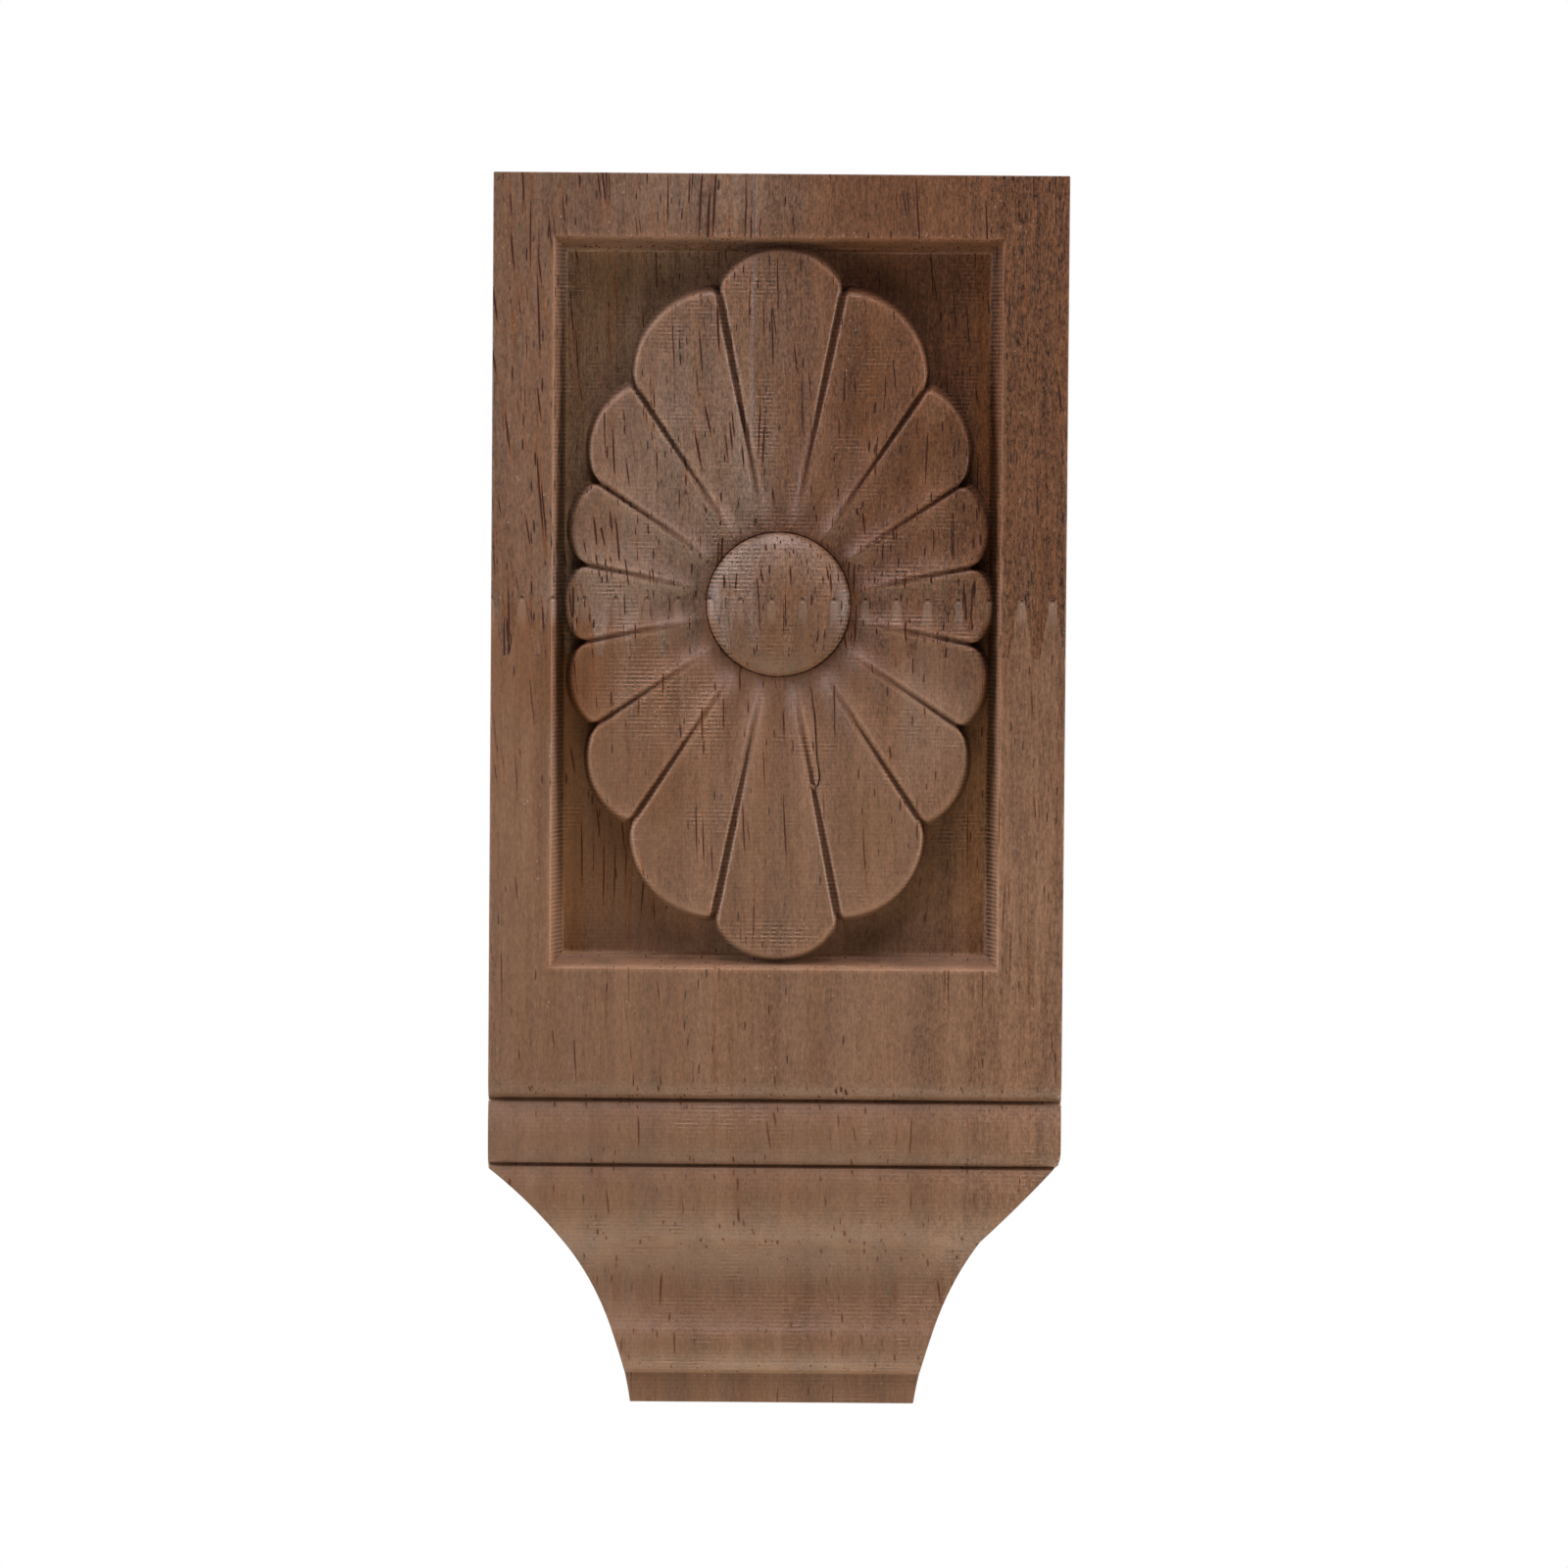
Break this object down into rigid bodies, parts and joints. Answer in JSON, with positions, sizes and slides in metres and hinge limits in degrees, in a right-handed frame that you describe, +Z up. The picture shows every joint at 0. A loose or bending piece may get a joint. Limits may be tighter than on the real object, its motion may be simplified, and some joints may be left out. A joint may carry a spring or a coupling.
{
  "type": "carved wood moulding",
  "caption": "Flat-backed carved wood moulding block: sunk panel with an oval petalled flower, a bead and a curved tapering foot.",
  "frame": {"origin": "middle of the flat back face, where the block meets what it is fixed to", "axes": "+Z up the block from foot to panel, -Y the way the carved front faces, +Y into what it is fixed to, +X to the right seen from the front"},
  "size_m": [0.07, 0.028, 0.1504],
  "materials": {
    "wood": "bare"
  },
  "bodies": {
    "root": {"carved_block": "wood"}
  },
  "joints": []
}
